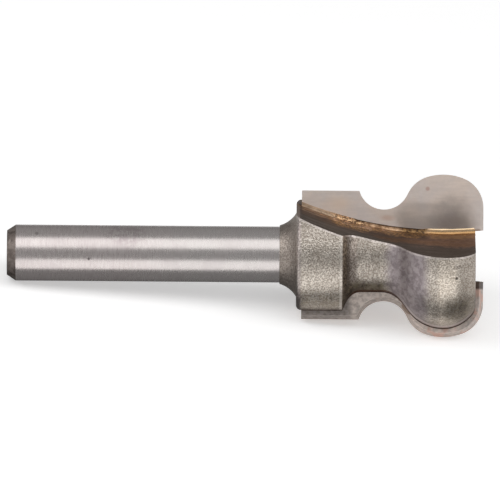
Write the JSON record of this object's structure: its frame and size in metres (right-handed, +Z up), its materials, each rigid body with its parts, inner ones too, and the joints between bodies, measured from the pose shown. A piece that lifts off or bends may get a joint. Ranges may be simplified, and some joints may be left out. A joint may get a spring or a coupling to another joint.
{
  "type": "router bit",
  "caption": "Straight-shank router bit with brazed carbide tips ground to a bead-and-cove profile, for cutting finger pulls and rounded rebates in wood.",
  "frame": {"origin": "centre of the flat end of the shank, on the bit's axis", "axes": "+Z up with the bit lying at rest on a level surface; +X runs along the bit towards its nose, which lies 5.4 degrees up from level; -Y faces the side from which a rake face is seen"},
  "size_m": [0.0544, 0.0176, 0.0155],
  "materials": {
    "body_steel": "ground shank, blasted head",
    "carbide": "ground carbide, dull",
    "braze": "brazing alloy, heat stained"
  },
  "bodies": {
    "root": {"steel_body": "body_steel", "carbide_tip_upper": "carbide", "carbide_tip_lower": "carbide", "braze_upper": "braze", "braze_lower": "braze"}
  },
  "joints": []
}
